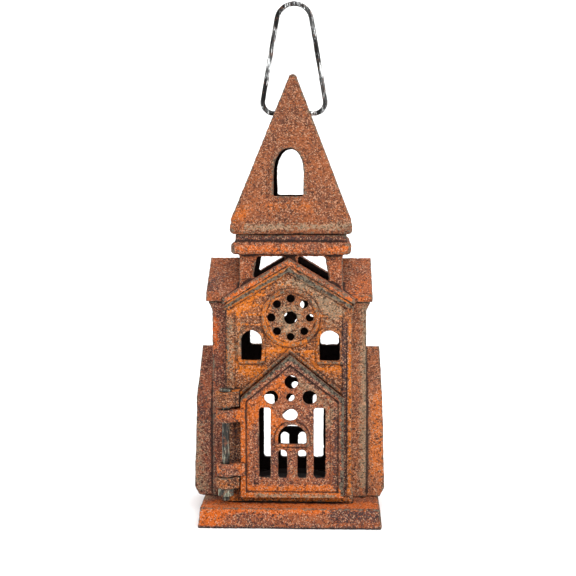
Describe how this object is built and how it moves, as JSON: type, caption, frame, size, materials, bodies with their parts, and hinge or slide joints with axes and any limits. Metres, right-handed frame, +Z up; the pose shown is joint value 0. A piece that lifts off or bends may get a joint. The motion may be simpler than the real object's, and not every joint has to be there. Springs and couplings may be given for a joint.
{
  "type": "hanging candle lantern",
  "caption": "Church-shaped cast iron hanging candle lantern with pierced hinged door, open belfry, hollow spire and swinging wire loop.",
  "frame": {"origin": "middle of the plinth's foot, on the ground", "axes": "+Z up through the spire; the door and front facade look along -Y; +X to the right seen from the front"},
  "size_m": [0.1144, 0.1074, 0.3082],
  "materials": {
    "plinth": "rough cast, rusted orange and brown",
    "facade": "rough cast, rusted orange, grey on the ribs",
    "side": "rough cast, rusted brown with purple patches",
    "roof": "rough cast, rusted",
    "spire": "rough cast, rusted, worn at the corners",
    "door": "rough cast, rusted orange on the left, brown on the right",
    "hinge_steel": "dull grey steel with rust dust",
    "loop_wire": "dark steel wire, polished in streaks",
    "pan_sheet": "thin sheet steel, sooty",
    "inner_steel": "dull steel, rusty"
  },
  "bodies": {
    "lantern": {"base_plinth": "plinth", "front_facade": "facade", "rear_facade": "facade", "left_side": "side", "right_side": "side", "roof_belfry": "roof", "spire": "spire", "hinge_bolt": "hinge_steel", "hinge_nut": "hinge_steel", "tie_rods": "inner_steel", "tie_nuts": "inner_steel", "spire_screws": "inner_steel"},
    "door": {"door": "door"},
    "loop": {"hanging_loop": "loop_wire"},
    "pan": {"candle_pan": "pan_sheet"}
  },
  "joints": [
    {"name": "door_hinge", "type": "hinge", "parent": "lantern", "child": "door", "pos_m": [-0.0374, -0.046, 0], "axis": [0, 0, -1], "range_deg": [0, 180]},
    {"name": "loop_swing", "type": "hinge", "parent": "lantern", "child": "loop", "pos_m": [0, 0, 0.2414], "axis": [1, 0, 0], "range_deg": [-120, 120]},
    {"name": "pan_lift", "type": "slide", "parent": "lantern", "child": "pan", "axis": [0, 0, 1], "range_m": [0, 0.02]}
  ]
}
